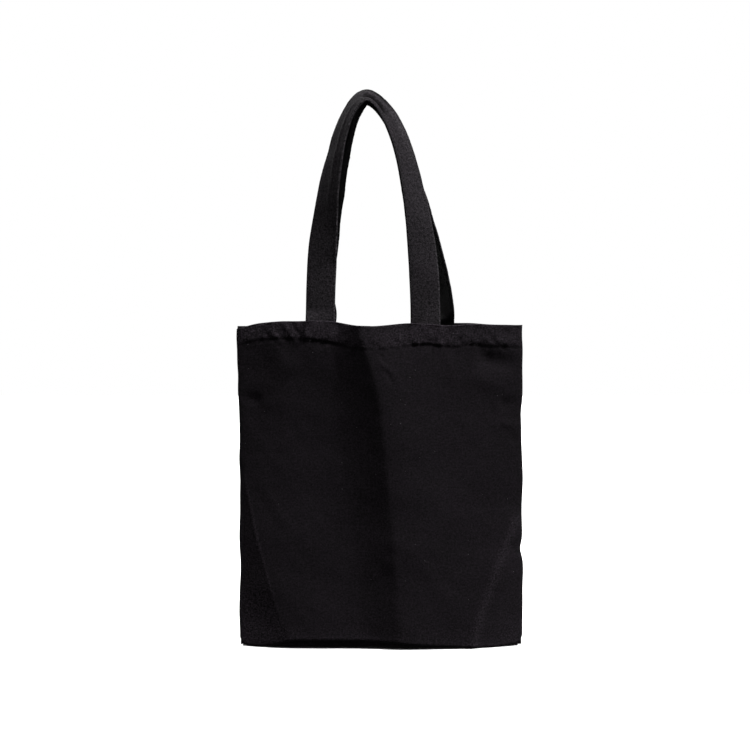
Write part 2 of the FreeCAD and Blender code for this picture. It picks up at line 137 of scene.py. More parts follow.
class Waves:
    """Smooth unevenness: a sum of plane waves with fixed directions and phases."""

    def __init__(self, seed, shortest, longest, count=18):
        rng = np.random.default_rng(seed)
        angle = rng.uniform(0, math.pi, count)
        length = np.exp(rng.uniform(math.log(shortest), math.log(longest), count))
        self.kx = 2 * math.pi / length * np.cos(angle)
        self.ky = 2 * math.pi / length * np.sin(angle)
        self.phase = rng.uniform(0, 2 * math.pi, count)
        self.weight = length / math.sqrt((length ** 2).sum() / 2)

    def __call__(self, x, y=0.0):
        x = np.asarray(x, float)
        total = np.zeros(np.broadcast(x, y).shape)
        for kx, ky, phase, weight in zip(self.kx, self.ky, self.phase, self.weight):
            total += weight * np.sin(kx * x + ky * y + phase)
        return total


def wave_pair(seed, shortest, longest, count):
    """Unevenness of one kind for the front and the back."""
    return {"front": Waves(seed, shortest, longest, count),
            "back": Waves(seed + 1, shortest, longest, count)}


# ---- building meshes ----

def add_object(name, data):
    """A new object, put in the scene."""
    thing = bpy.data.objects.new(name, data)
    bpy.context.scene.collection.objects.link(thing)
    return thing


def new_piece(name, vertices, faces, cloth, wear_and_light, material):
    """A smooth-shaded mesh object whose points know their place on the flat cloth."""
    mesh = bpy.data.meshes.new(name)
    mesh.from_pydata(vertices.reshape(-1, 3).tolist(), [], faces)
    flat = np.zeros((len(mesh.vertices), 3), np.float32)
    flat[:, :2] = cloth.reshape(-1, 2)
    mesh.attributes.new("cloth", "FLOAT_VECTOR", "POINT").data.foreach_set("vector", flat.ravel())
    tone_shift = np.broadcast_to(np.asarray(wear_and_light, np.float32), vertices.shape[:-1]).ravel()
    mesh.attributes.new("wear_and_light", "FLOAT", "POINT").data.foreach_set("value", np.ascontiguousarray(tone_shift))
    mesh.polygons.foreach_set("use_smooth", [True] * len(mesh.polygons))
    mesh.materials.append(material)
    mesh.validate()
    mesh.update()
    return add_object(name, mesh)


def face_outward(piece):
    """Turn a closed mesh's faces outward, if they were drawn inside out."""
    mesh = piece.data
    mesh.calc_loop_triangles()
    places = np.array([v.co for v in mesh.vertices])
    corners = places[np.array([t.vertices for t in mesh.loop_triangles])]
    if np.einsum("ij,ij->i", corners[:, 0], np.cross(corners[:, 1], corners[:, 2])).sum() < 0:
        mesh.flip_normals()
    return piece


def grid_faces(rows, columns, wrap=False):
    """Quads between the points of a grid; wrap joins the last column to the first."""
    faces = []
    for i in range(rows - 1):
        for j in range(columns if wrap else columns - 1):
            k = (j + 1) % columns
            faces.append((i * columns + j, i * columns + k, (i + 1) * columns + k, (i + 1) * columns + j))
    return faces


def grid_piece(name, points, cloth, wear_and_light, material, flip=False):
    """A sheet from a grid of points."""
    faces = grid_faces(points.shape[0], points.shape[1])
    if flip:
        faces = [face[::-1] for face in faces]
    return new_piece(name, points, faces, cloth, wear_and_light, material)


def thicken(piece, thickness, offset=-1.0):
    """Give a sheet its cloth's thickness, inward from the drawn face."""
    solid = piece.modifiers.new("cloth_thickness", "SOLIDIFY")
    solid.thickness = thickness
    solid.offset = offset
    solid.use_even_offset = False


def tube_faces(rings, around):
    """The faces of a closed tube: its sides, and a cap on each end."""
    faces = grid_faces(rings, around, wrap=True)
    faces.append(tuple(reversed(range(around))))
    faces.append(tuple(range((rings - 1) * around, rings * around)))
    return faces


def unit(vectors):
    """Vectors scaled to length one."""
    return vectors / np.maximum(np.linalg.norm(vectors, axis=-1, keepdims=True), 1e-12)


# A stitch's rings: place along it as a share of its length, then girth and rise as shares of
# its thickness.
STITCH_RINGS = ((-0.5, 0.25, -0.45), (-0.38, 0.8, -0.05), (0.0, 1.0, 0.18), (0.38, 0.8, -0.05),
                (0.5, 0.25, -0.45))
STITCH_SIDES = 6
# Spreads the stitches over their thread's noise, so that no two look alike.
STITCH_SPREAD = np.array([1.0, 0.3, 0.7])


def stitches_piece(name, centres, along, out, length=2.6 * MM):
    """Short rounded stitches, each lying along the seam and a little proud of the cloth."""
    along = unit(along)
    across = unit(np.cross(out, along))
    out = np.cross(along, across)
    vertices = []
    for place, girth, rise in STITCH_RINGS:
        middle = centres + along * (place * length) + out * (rise * THREAD)
        for k in range(STITCH_SIDES):
            angle = 2 * math.pi * k / STITCH_SIDES
            ring = across * (math.cos(angle) * girth) + out * (math.sin(angle) * girth)
            vertices.append(middle + ring * (THREAD / 2))
    vertices = np.stack(vertices, axis=1)
    step = vertices.shape[1]
    one = tube_faces(len(STITCH_RINGS), STITCH_SIDES)
    faces = [tuple(step * i + v for v in face) for i in range(len(centres)) for face in one]
    cloth = np.zeros(vertices.shape[:2] + (2,))
    cloth[..., 0] = (centres @ STITCH_SPREAD)[:, None]
    return face_outward(new_piece(name, vertices, faces, cloth, 0.0, THREAD_BLACK))


def run_along(points):
    """Distances along a line of points, from its start."""
    gaps = np.linalg.norm(np.diff(points, axis=0), axis=1)
    return np.concatenate([[0], np.cumsum(gaps)])


def read_line(at, known_at, values):
    """Vectors known at some places along a line, read at other places."""
    return np.stack([np.interp(at, known_at, values[:, k]) for k in range(3)], axis=1)


def stitch_row(points, out, pitch=3.4 * MM):
    """Centres, directions and outward directions of stitches spaced along a line."""
    run = run_along(points)
    count = int(run[-1] / pitch)
    at = (np.arange(count) + 0.5) * run[-1] / count
    along = read_line(at + pitch / 4, run, points) - read_line(at - pitch / 4, run, points)
    return read_line(at, run, points), along, unit(read_line(at, run, out))


def join_rows(rows):
    """Several rows of stitches as one."""
    return [np.concatenate(parts) for parts in zip(*rows)]


# ---- materials ----

class Nodes:
    """A short way to write a material's nodes."""

    def __init__(self, name):
        self.material = bpy.data.materials.new(name)
        self.material.use_nodes = True
        self.tree = self.material.node_tree
        self.shader = self.tree.nodes["Principled BSDF"]

    def add(self, kind, links=(), **settings):
        node = self.tree.nodes.new(kind)
        for key, value in settings.items():
            setattr(node, key, value)
        for socket, value in links:
            self.feed(node.inputs[socket], value)
        return node

    def feed(self, socket, value):
        if isinstance(value, bpy.types.NodeSocket):
            self.tree.links.new(value, socket)
        else:
            socket.default_value = value

    def math(self, operation, *values, clamp=False):
        node = self.add("ShaderNodeMath", list(enumerate(values)), operation=operation, use_clamp=clamp)
        return node.outputs[0]

    def times(self, a, b, clamp=False):
        return self.math("MULTIPLY", a, b, clamp=clamp)

    def total(self, *values):
        """The sum of several values."""
        added = values[0]
        for value in values[1:]:
            added = self.math("ADD", added, value)
        return added

    def noise(self, vector, scale, detail=2.0, roughness=0.5):
        links = [("Vector", vector), ("Scale", scale), ("Detail", detail), ("Roughness", roughness)]
        return self.add("ShaderNodeTexNoise", links).outputs["Fac"]

    def stretch(self, vector, x, y):
        """Cloth coordinates scaled differently along and across."""
        links = [("Vector", vector), ("Scale", (x, y, 1.0))]
        return self.add("ShaderNodeMapping", links).outputs[0]

    def ramp(self, value, low, high, to_low=0.0, to_high=1.0):
        links = [("Value", value), ("From Min", low), ("From Max", high),
                 ("To Min", to_low), ("To Max", to_high)]
        return self.add("ShaderNodeMapRange", links, clamp=True).outputs[0]

    def scaled(self, colour, share):
        links = [(0, colour), ("Scale", share)]
        return self.add("ShaderNodeVectorMath", links, operation="SCALE").outputs[0]

    def mix(self, share, a, b):
        node = self.add("ShaderNodeMix", [(0, share), (6, a), (7, b)], data_type="RGBA")
        return node.outputs[2]


def weave_height(nodes, u, v, pitch):
    """Plain weave: threads along u and along v take turns on top."""
    wave_u = nodes.math("SINE", nodes.times(u, math.pi / pitch))
    wave_v = nodes.math("SINE", nodes.times(v, math.pi / pitch))
    crown_u = nodes.math("ABSOLUTE", wave_u)
    crown_v = nodes.math("ABSOLUTE", wave_v)
    upright = nodes.times(crown_u, nodes.math("SQRT", crown_v))
    level = nodes.times(crown_v, nodes.math("SQRT", crown_u))
    on_top = nodes.math("GREATER_THAN", nodes.times(wave_u, wave_v), 0.0)
    part = nodes.times(on_top, upright)
    rest = nodes.times(nodes.math("SUBTRACT", 1.0, on_top), level)
    return nodes.total(part, rest)


def lint_mask(nodes, cloth, spacing, size, share):
    """Sparse specks of pale lint: small spots in a few of the cells of a grid."""
    spots = nodes.add("ShaderNodeTexVoronoi", [("Vector", cloth), ("Scale", 1 / spacing)])
    near = nodes.math("LESS_THAN", spots.outputs["Distance"], size / spacing)
    pick = nodes.add("ShaderNodeSeparateColor", [("Color", spots.outputs["Color"])]).outputs[0]
    chosen = nodes.math("LESS_THAN", pick, share)
    return nodes.times(near, chosen)


WEAVE_PITCH = 1.0 * MM
YARN_DRIFT = 1.2 * MM
BUMP_DEPTH = 0.25 * MM
SLUB_WIDTH = 2.2 * WEAVE_PITCH
SLUBS_PER_METRE = 12.0
# How fine the noise is that bends the yarn, fades the cloth, mottles it and gives it grain.
DRIFT_SCALE, FADE_SCALE, MOTTLE_SCALE, GRAIN_SCALE = 60.0, 14.0, 300.0, 520.0
LINT_SPACING, LINT_SIZE, LINT_SHARE, LINT_COVER = 6.0 * MM, 0.34 * MM, 0.11, 0.5
LINT_COLOUR = (0.16, 0.155, 0.16, 1.0)
SHEEN_TINT = (0.93, 0.88, 0.95, 1.0)
# How much painted shade darkens the cloth for each unit below 0.
PAINTED_SHADE_DARKENING = 0.76
THREAD_TANGLE_SCALE, THREAD_TWIST_SCALE = 400.0, 700.0


def canvas_tone(nodes, cloth, weave, slub, grain, speckle):
    """How light the cloth is from place to place, around 1, before any wear or painted light."""
    faded = nodes.noise(cloth, FADE_SCALE, 5.0, 0.6)
    mottle = nodes.noise(cloth, MOTTLE_SCALE)
    return nodes.total(
        nodes.ramp(faded, 0.3, 0.7, -0.20, 0.20),
        nodes.ramp(slub, 0.35, 0.65, -0.06, 0.07),
        nodes.ramp(mottle, 0.34, 0.66, -speckle, speckle),
        nodes.ramp(weave, 0.0, 1.0, -0.28, 0.12),
        nodes.ramp(grain, 0.36, 0.66, -0.5 - speckle / 4, 0.65 + speckle),
        1.0)


def canvas_material(name, colour, faded_and_lit_colour, bump, sheen, speckle):
    """Black cotton canvas: plain weave, uneven yarn, faded patches, worn edges and lint.

    Above 0 the wear-and-light value lightens the cloth in specks, for real fading and for painted
    highlights; below 0 it darkens the cloth as painted shade.
    """
    nodes = Nodes(name)
    cloth = nodes.add("ShaderNodeAttribute", attribute_name="cloth").outputs["Vector"]
    wear_and_light = nodes.add("ShaderNodeAttribute", attribute_name="wear_and_light").outputs["Fac"]
    place = nodes.add("ShaderNodeSeparateXYZ", [("Vector", cloth)]).outputs
    wander = nodes.math("SUBTRACT", nodes.noise(cloth, DRIFT_SCALE), 0.5)
    drift = nodes.times(wander, YARN_DRIFT)
    u, v = nodes.total(place[0], drift), nodes.total(place[1], drift)
    weave = weave_height(nodes, u, v, WEAVE_PITCH)
    slub_up = nodes.noise(nodes.stretch(cloth, 1 / SLUB_WIDTH, SLUBS_PER_METRE), 1.0, 3.0)
    slub_across = nodes.noise(nodes.stretch(cloth, SLUBS_PER_METRE, 1 / SLUB_WIDTH), 1.0, 3.0)
    slub = nodes.times(nodes.total(slub_up, slub_across), 0.5)
    grain = nodes.noise(cloth, GRAIN_SCALE, 3.0, 0.65)
    # Painted shade: values below 0 darken the cloth's tone.
    painted_shade = nodes.times(nodes.math("MINIMUM", wear_and_light, 0.0), PAINTED_SHADE_DARKENING)
    tone = canvas_tone(nodes, cloth, weave, slub, grain, speckle)
    tone = nodes.times(tone, nodes.total(painted_shade, 1.0))
    # Values above 0 mix in the lighter colour: real fading, and painted highlights.
    lightened = nodes.times(wear_and_light, nodes.ramp(grain, 0.30, 0.64), clamp=True)
    base = nodes.mix(lightened, colour, faded_and_lit_colour)
    lint = lint_mask(nodes, cloth, LINT_SPACING, LINT_SIZE, LINT_SHARE)
    toned = nodes.mix(nodes.times(lint, LINT_COVER), nodes.scaled(base, tone), LINT_COLOUR)
    shader = nodes.shader.inputs
    nodes.feed(shader["Base Color"], toned)
    nodes.feed(shader["Roughness"], nodes.ramp(weave, 0.0, 1.0, 0.98, 0.86))
    shader["Specular IOR Level"].default_value = 0.08
    shader["Sheen Weight"].default_value = sheen
    shader["Sheen Roughness"].default_value = 0.45
    shader["Sheen Tint"].default_value = SHEEN_TINT
    height = nodes.total(weave, nodes.times(slub, 0.9), nodes.times(grain, 1.6))
    links = [("Height", height), ("Strength", bump), ("Distance", BUMP_DEPTH)]
    nodes.feed(shader["Normal"], nodes.add("ShaderNodeBump", links).outputs[0])
    return nodes.material


def thread_material(name, colour):
    """Twisted polyester thread, a little glossier than the cloth."""
    nodes = Nodes(name)
    shader = nodes.shader.inputs
    cloth = nodes.add("ShaderNodeAttribute", attribute_name="cloth").outputs["Vector"]
    tangle = nodes.noise(cloth, THREAD_TANGLE_SCALE)
    nodes.feed(shader["Base Color"], nodes.scaled(colour, nodes.ramp(tangle, 0.3, 0.7, 0.7, 1.4)))
    nodes.feed(shader["Roughness"], nodes.ramp(tangle, 0.3, 0.7, 0.5, 0.7))
    shader["Specular IOR Level"].default_value = 0.12
    shader["Sheen Weight"].default_value = 0.02
    links = [("Vector", nodes.add("ShaderNodeTexCoord").outputs["Object"]), ("Scale", THREAD_TWIST_SCALE)]
    twist = nodes.add("ShaderNodeTexWave", links, bands_direction="DIAGONAL")
    links = [("Height", twist.outputs["Fac"]), ("Strength", 0.5), ("Distance", 0.06 * MM)]
    nodes.feed(shader["Normal"], nodes.add("ShaderNodeBump", links).outputs[0])
    return nodes.material


CANVAS = canvas_material(
    "black_canvas", (0.0034, 0.0025, 0.0035, 1.0), (0.0135, 0.0108, 0.0138, 1.0), 0.9, 0.006, 0.38)
STRAP_CANVAS = canvas_material(
    "strap_canvas", (0.0101, 0.0087, 0.0102, 1.0), (0.0235, 0.0213, 0.0236, 1.0), 1.3, 0.013, 0.52)
THREAD_BLACK = thread_material("black_thread", (0.0050, 0.0042, 0.0050))


# ---- camera, floor and light ----

CAMERA_DISTANCE = 2.5
CAMERA_X, CAMERA_Z = -6.9 * MM, 337 * MM
WIDTH_SEEN = 0.9342
SENSOR_WIDTH = 36.0
FLOOR_REACH = 30.0
WORLD_LIGHT, WORLD_SEEN = 0.12, 1.0
# Each sun's azimuth and elevation in degrees, its strength, and its softness in degrees.
SUNS = {
    "key_light": (64, 40, 6.0, 22),
    "fill_light": (-14, 26, 0.32, 60),
    "overhead_light": (0, 84, 4.2, 60),
    "back_light": (205, 32, 2.6, 50),
}


def make_camera():
    """Level with the middle of the bag and its handles, straight on to the front."""
    data = bpy.data.cameras.new("camera")
    data.sensor_width = SENSOR_WIDTH
    data.lens = SENSOR_WIDTH * CAMERA_DISTANCE / WIDTH_SEEN
    camera = add_object("camera", data)
    camera.location = (CAMERA_X, -CAMERA_DISTANCE, CAMERA_Z)
    camera.rotation_euler = (math.pi / 2, 0, 0)
    bpy.context.scene.camera = camera


def make_floor():
    """A wide white floor."""
    mesh = bpy.data.meshes.new("floor")
    corners = [(x * FLOOR_REACH, y * FLOOR_REACH, 0) for x, y in ((-1, -1), (1, -1), (1, 1), (-1, 1))]
    mesh.from_pydata(corners, [], [(0, 1, 2, 3)])
    floor = add_object("floor", mesh)
    nodes = Nodes("floor_white")
    nodes.shader.inputs["Base Color"].default_value = (0.86, 0.86, 0.86, 1.0)
    nodes.shader.inputs["Roughness"].default_value = 0.9
    mesh.materials.append(nodes.material)
    floor.visible_diffuse = False
    floor.visible_glossy = False


def make_sun(name, azimuth, elevation, strength, softness):
    """A soft light from far off; azimuth is degrees to the right of the camera's side."""
    data = bpy.data.lights.new(name, "SUN")
    data.energy = strength
    data.angle = math.radians(softness)
    light = add_object(name, data)
    a, e = math.radians(azimuth), math.radians(elevation)
    toward = Vector((math.sin(a) * math.cos(e), -math.cos(a) * math.cos(e), math.sin(e)))
    light.rotation_mode = "QUATERNION"
    light.rotation_quaternion = toward.to_track_quat("Z", "Y")


def make_world():
    """White to look at, dim as a light, so that the folds keep their shade."""
    world = bpy.data.worlds.new("studio")
    world.use_nodes = True
    bpy.context.scene.world = world
    tree = world.node_tree
    seen = tree.nodes.new("ShaderNodeLightPath").outputs["Is Camera Ray"]
    strength = tree.nodes.new("ShaderNodeMapRange")
    strength.inputs["To Min"].default_value = WORLD_LIGHT
    strength.inputs["To Max"].default_value = WORLD_SEEN
    tree.links.new(seen, strength.inputs["Value"])
    background = tree.nodes["Background"]
    background.inputs["Color"].default_value = (1.0, 1.0, 1.0, 1.0)
    tree.links.new(strength.outputs[0], background.inputs["Strength"])


make_camera()
make_floor()
for sun_name, sun in SUNS.items():
    make_sun(sun_name, *sun)
make_world()
bpy.context.scene.view_settings.view_transform = "Standard"


# ---- the shape of the bag ----

BROAD = {"front": Waves(3, 55 * MM, 150 * MM), "back": Waves(8, 50 * MM, 150 * MM)}
RUMPLE = wave_pair(21, 14 * MM, 32 * MM, 26)
CRINKLE = wave_pair(31, 5 * MM, 11 * MM, 30)
PUCKER = wave_pair(41, 6 * MM, 13 * MM, 12)
EDGE_WAVE = Waves(51, 25 * MM, 90 * MM, 10)

# Where each long fold's crest runs: pairs of height and place along X.
FOLD_CREST = {
    "front": ((0, 23), (60, 20), (126, 16), (214, 7), (292, 0), (345, -11), (380, -25), (400, -31)),
    "back": ((0, -52), (120, -38), (260, -16), (400, 0)),
}
# How wide the band that steps forward to the crest is: pairs of height and width.
FOLD_WIDTH = {
    "front": ((0, 46), (126, 50), (214, 56), (292, 58), (345, 48), (380, 34), (400, 24)),
    "back": ((0, 60), (400, 52)),
}
# How deep each fold is: pairs of height and depth.
FOLD_DEPTH = {
    "front": ((0, 7), (57, 11), (126, 15), (214, 19), (292, 22), (345, 20), (400, 13)),
    "back": ((0, 3), (120, 6), (260, 9), (400, 8)),
}
FOLD_SENSE = {"front": 1.0, "back": -1.0}
# Corner creases run from the side seam down to the base: height on the seam, place on the
# base, and a power that bends the line.
CORNER_CREASE = {
    "front": ((240, 100, 0.62), (176, 112, 1.2)),
    "back": ((190, 112, 1.0), (215, 104, 0.8)),
}

# Small creases, in mm: start x, z, end x, z, half width, height out of the face.
FRONT_CREASES = (
    (-122, 397, -104, 375, 2.4, 1.8),
    (-110, 398, -96, 377, 2.2, -1.5),
    (-135, 392, -122, 372, 3.2, 1.2),
    (-148, 396, -134, 378, 2.6, -1.0),
    (-178, 311, -150, 306, 7.0, -6.2),
    (-138, 376, -116, 338, 17.0, 3.4),
    (166, 352, 124, 358, 11.5, -6.5),
    (150, 322, 108, 334, 9.0, 1.2),
    (176, 306, 150, 300, 7.5, -5.0),
    (174, 272, 152, 278, 6.0, 3.6),
    (178, 254, 163, 258, 4.5, -3.6),
    (176, 130, 160, 124, 4.0, -1.4),
    (176, 112, 164, 110, 4.0, 1.6),
    (120, 396, 112, 380, 2.6, -1.2),
    (138, 398, 128, 378, 2.8, 1.3),
    (158, 398, 149, 380, 2.4, -1.2),
    (167, 396, 160, 384, 2.0, 1.1),
    (2, 352, 16, 338, 2.6, 1.0),
    (6, 342, 18, 322, 2.4, -0.9),
    (-4, 366, 8, 352, 2.6, -0.8),
    (30, 392, 26, 374, 2.4, -1.0),
    (20, 394, 14, 376, 2.6, 0.9),
    (-60, 372, -50, 330, 4.5, -0.8),
    (78, 372, 92, 330, 7.0, 0.8),
    (-150, 210, -118, 150, 7.0, 0.6),
    (40, 120, 96, 40, 9.0, 0.6),
)
BACK_CREASES = (
    (120, 396, 102, 374, 2.4, 1.2),
    (-120, 396, -104, 376, 2.4, -1.0),
    (173, 300, 148, 286, 4.0, 1.6),
    (-173, 262, -150, 250, 4.0, -1.5),
    (60, 370, 52, 320, 5.0, 0.9),
    (-92, 372, -104, 326, 5.0, 0.8),
    (-120, 180, -70, 90, 8.0, 0.8),
    (100, 140, 40, 60, 9.0, 0.7),
)
CREASES = {"front": FRONT_CREASES, "back": BACK_CREASES}
LEFT_CREASE_WIDTH = 1.6 * MM
RIGHT_CREASE_WIDTH = 6 * MM

# How the hem's stitches wander: pairs of place along X and height, in mm.
HEM_LINE = {
    "front": ((-176, 4), (-145, 4), (-113, 3.8), (-88, 1.8), (-68, -1.4), (-40, -3.2), (-10, -4.2),
              (18, -4.2), (36, -2.4), (62, -0.6), (84, -2.6), (111, -0.8), (140, -2.8), (174, -2.4)),
    "back": ((-176, 3), (-120, 1), (-70, -1), (0, -3), (60, -1), (110, 0), (174, 2)),
}
# Where the rim swells and sags: place along X, half width and height, in mm.
RIM_SWELLS = {"front": ((-12, 26, -3.6), (-106, 46, 3.2), (78, 50, -2.6)), "back": ((4, 30, -3.0),)}
# How the rim droops at its left end: distance left of the middle, width and drop, in mm.
RIM_DROOP = {"front": (146, 40, 6.5), "back": (142, 33, 5.5)}
# Where the right side is pinched in: height, half height and depth in mm, and sharpness.
SIDE_PINCHES = ((291, 14, 2.0, 1), (121, 10, 2.6, 3))
# Heights of the smooth unevenness of a wall, from its broadest to its finest.
BROAD_HEIGHT, RUMPLE_HEIGHT, CRINKLE_HEIGHT = 0.7 * MM, 0.11 * MM, 0.05 * MM
# The bow of a wall at its foot, and how sharp the turn at a corner crease is.
FOOT_RADIUS = 1.12
TURN_BLEND = 2.0 * MM


def smooth_line(pairs, z):
    """A smooth curve near a few pairs of height and value, all given in mm."""
    heights, values = np.array(pairs, float).T
    nearby = [np.interp(z / MM + shift, heights, values) for shift in range(-24, 25, 8)]
    return np.mean(nearby, axis=0) * MM


def corner_turn(z, side, right):
    """Where a corner crease is at a height, as a distance from the middle, and its share."""
    top, foot, power = CORNER_CREASE[side][right]
    share = np.clip(z / (top * MM), 0, 1)
    return foot * MM + (HALF_WIDTH - foot * MM) * share ** power, share


def crease(x, z, start_x, start_z, end_x, end_z, half_width, height):
    """A short ridge or groove along a line, fading at both ends."""
    start = np.array([start_x, start_z]) * MM
    way = np.array([end_x, end_z]) * MM - start
    long = np.linalg.norm(way)
    way = way / long
    along = ((x - start[0]) * way[0] + (z - start[1]) * way[1]) / long
    off = (x - start[0]) * way[1] - (z - start[1]) * way[0]
    fade = ease((along + 0.25) / 0.45) * ease((1.25 - along) / 0.45)
    return height * MM * bell(off, half_width * MM) * fade


def crease_here(x, z, side):
    """The corner crease of the side that x is on: its distance from the middle, and share."""
    pairs = zip(corner_turn(z, side, 0), corner_turn(z, side, 1))
    return [np.where(x < 0, left, right) for left, right in pairs]


def wall_bow(x, z, side):
    """Depth of a wall from the seam plane, without folds: bowed above, boxed at the base."""
    reach = np.clip(z / HEM_FOOT, 0, 1)
    middle = BASE_HALF_DEPTH + (MOUTH_HALF_DEPTH - BASE_HALF_DEPTH) * reach
    sag = middle - SEAM_GAP
    top_radius = (HALF_WIDTH ** 2 + sag ** 2) / (2 * sag)
    turn, share = crease_here(x, z, side)
    radius = FOOT_RADIUS + share * (top_radius - FOOT_RADIUS)
    face = middle - (radius - np.sqrt(radius ** 2 - x ** 2))
    at_turn = middle - (radius - np.sqrt(radius ** 2 - turn ** 2))
    slope_out = (at_turn - SEAM_GAP) / np.maximum(HALF_WIDTH - turn, 1e-4)
    facet = SEAM_GAP + (HALF_WIDTH - np.abs(x)) * slope_out
    boxed = soft_min(face, facet, TURN_BLEND)
    return np.where(share < 0.999, boxed + (face - boxed) * ease((share - 0.9) / 0.1), face)


def crease_line(x, z, side):
    """Nearness to the corner crease of the side that x is on: 1 on it, 0 away from it."""
    turn, share = crease_here(x, z, side)
    off = np.abs(x) - turn
    left = bell(off, LEFT_CREASE_WIDTH) * ease((0.95 - share) / 0.15)
    right = bell(off, RIGHT_CREASE_WIDTH) * ease((0.97 - share) / 0.1)
    return np.where(x < 0, left * (0.35 + 0.65 * ease(share / 0.35)), right)


def long_fold(x, z, side):
    """The long fold: the cloth steps forward across a slanting band."""
    crest, depth = smooth_line(FOLD_CREST[side], z), smooth_line(FOLD_DEPTH[side], z)
    width = smooth_line(FOLD_WIDTH[side], z)
    across = FOLD_SENSE[side] * (x - crest) / width + 1
    rise = np.clip(soft_min(np.clip(across, 0, 2) ** 1.7, 1.0, 0.10), 0, 1)
    forward = bell(np.maximum(across - 1, 0), 1.15)
    behind = bell(np.maximum(-across, 0), 1.2)
    return depth * (0.65 * rise * forward - 0.35 * (1 - rise) * behind)


def hem_line(x, side):
    """The height of the row of stitches along the hem."""
    places, rises = np.array(HEM_LINE[side], float).T
    near = np.exp(-((x[..., None] - places * MM) / (14 * MM)) ** 2) + 1e-9
    return HEM_FOOT + 2 * MM + (near * rises).sum(axis=-1) / near.sum(axis=-1) * MM


def hem_relief(x, z, side):
    """The hem stands proud of the wall, over a groove that its stitches pull in."""
    above = z - hem_line(x, side)
    relief = 1.2 * MM * ease(above / (5 * MM) + 0.5) + 0.6 * MM * hump(above, 9, 7)
    pulled = 0.45 + 0.55 * slope(np.abs(x + 6 * MM), 36, 14)
    relief -= 1.1 * MM * pulled * bell(above, 2.8 * MM)
    relief += 0.55 * MM * PUCKER[side](x, 0.6 * z) * np.exp(-np.abs(above - 4 * MM) / (10 * MM))
    relief += 0.30 * MM * RUMPLE[side](x, 1.3 * z) * slope(above, -4, 8)
    for leg in LEGS[side]:
        beside = 1 - ease((np.abs(x - leg) - STRAP_WIDTH / 2) / (3 * MM))
        relief += 1.3 * MM * beside * slope(above, -1, 4)
        pull = bell(x - leg, 15 * MM) * np.exp(-np.maximum(-above, 0) / (70 * MM))
        relief += 1.1 * MM * pull * ease(-above / (12 * MM))
    return relief


def wall_depth(x, z, side):
    """How far a wall's outer face stands from the seam plane, with all its folds."""
    inner = 1 - np.clip((np.abs(x) - HALF_WIDTH + SEAM_ROUND) / SEAM_ROUND, 0, 1)
    held = ease((HALF_WIDTH - np.abs(x)) / (26 * MM))
    depth = wall_bow(x, z, side)
    depth += held * long_fold(x, z, side)
    depth += held * BROAD_HEIGHT * BROAD[side](x, z)
    depth += (0.25 + 0.75 * held) * RUMPLE_HEIGHT * RUMPLE[side](x, z)
    depth += CRINKLE_HEIGHT * CRINKLE[side](x, z)
    room = np.clip((depth - 1.5 * MM) / (9 * MM), 0, 1)
    for small in CREASES[side]:
        depth += room * crease(x, z, *small)
    depth += (0.3 + 0.7 * held) * hem_relief(x, z, side)
    depth += np.where(x < 0, 0.8 * MM, 1.6 * MM) * crease_line(x, z, side)
    round_off = np.sqrt(np.clip(1 - (1 - inner) ** 2, 0, 1))
    return EDGE_GAP + np.maximum(depth - EDGE_GAP, 0.4 * MM) * round_off


def foot_height(x):
    """Height of the base's edge: it arches off the floor, and its corners are rounded."""
    arch = BASE_LIFT * slope(x, -150, 50) * slope(-x, -150, 190)
    past = np.clip(np.abs(x) - (HALF_WIDTH - CORNER_ROUND), 0, CORNER_ROUND)
    right = 2.2 * MM * slope(x, 138, 30)
    return arch + right + CORNER_ROUND - np.sqrt(CORNER_ROUND ** 2 - past ** 2)


def rim_height(x, side):
    """How much higher than its flat height the rim stands."""
    lift = 0.4 * MM + 0.5 * MM * EDGE_WAVE(x, HEIGHT)
    for leg in LEGS[side]:
        lift += 2.6 * MM * bell(x - leg, 26 * MM)
    for place, half_width, swell in RIM_SWELLS[side]:
        lift += swell * MM * hump(x, place, half_width)
    start, width, drop = RIM_DROOP[side]
    return lift - drop * MM * slope(-x, start, width)


def side_shift(x, z):
    """The side seams wander a little, bulge at the top left and are pinched at the right."""
    edge = slope(np.abs(x), 120, 55)
    left, right = x < 0, x > 0
    shift = (0.5 * MM * EDGE_WAVE(z, np.sign(x)) + 0.6 * MM * np.sign(x)) * edge
    shift -= left * 2.8 * MM * slope(z, 296, 36) * edge
    shift += right * 1.1 * MM * edge
    for height, half_height, depth, sharpness in SIDE_PINCHES:
        shift -= right * depth * MM * hump(z, height, half_height) * edge ** sharpness
    return shift


def wall_points(x, climb, side):
    """Points on a wall: climb is 0 at the base's edge and 1 at the rim."""
    foot = foot_height(x) + FOOT_ROUND
    z_flat = foot + (HEIGHT - foot) * climb
    y = FORWARD[side] * np.maximum(wall_depth(x, z_flat, side), 0.12 * MM)
    z = z_flat + rim_height(x, side) * slope(z_flat, 300, 100)
    return together(x + side_shift(x, z_flat), y, z)


